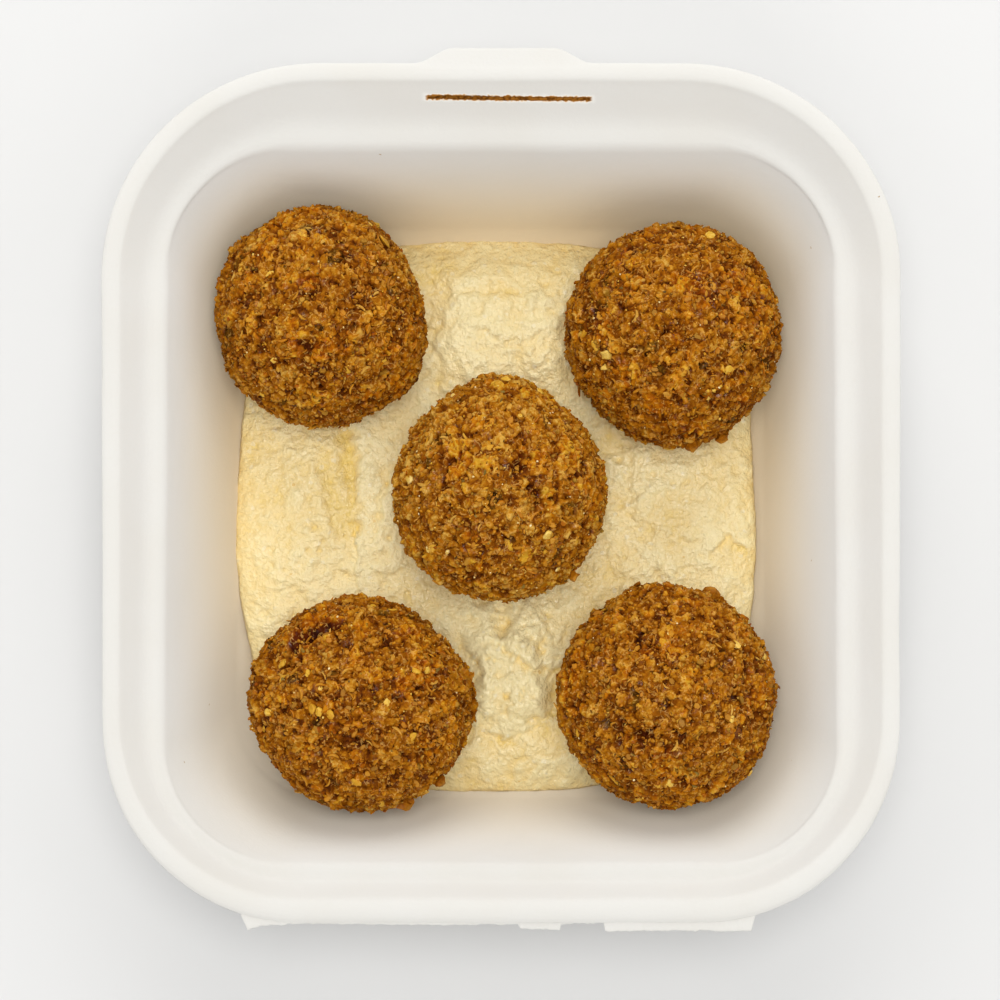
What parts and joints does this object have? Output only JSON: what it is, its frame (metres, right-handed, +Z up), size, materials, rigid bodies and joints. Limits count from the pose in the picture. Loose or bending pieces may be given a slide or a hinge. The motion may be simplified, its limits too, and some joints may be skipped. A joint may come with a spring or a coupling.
{
  "type": "falafel and hummus takeaway box",
  "caption": "Square moulded-pulp takeaway box base with round corners, a stepped rim, lock tab and slot, holding a bed of hummus with fried falafel balls set in it",
  "frame": {"origin": "on the table, under the middle of the box's overall outline, from the lock tab to the torn hinge strip", "axes": "+X to the right, +Y from the torn hinge side to the lock tab, +Z up"},
  "size_m": [0.1532, 0.1693, 0.044],
  "materials": {
    "pulp": "warm white moulded sugarcane pulp, matt, finely felted",
    "hummus": "pale creamy yellow spread, grainy and slightly moist",
    "falafel": "deep-fried golden brown crust of fine crumbs with herbs and chickpea bits, a few oily glints"
  },
  "bodies": {
    "root": {"pulp_box": "pulp", "hummus": "hummus", "falafel_back_left": "falafel", "falafel_back_right": "falafel", "falafel_centre": "falafel", "falafel_front_left": "falafel", "falafel_front_right": "falafel"}
  },
  "joints": []
}
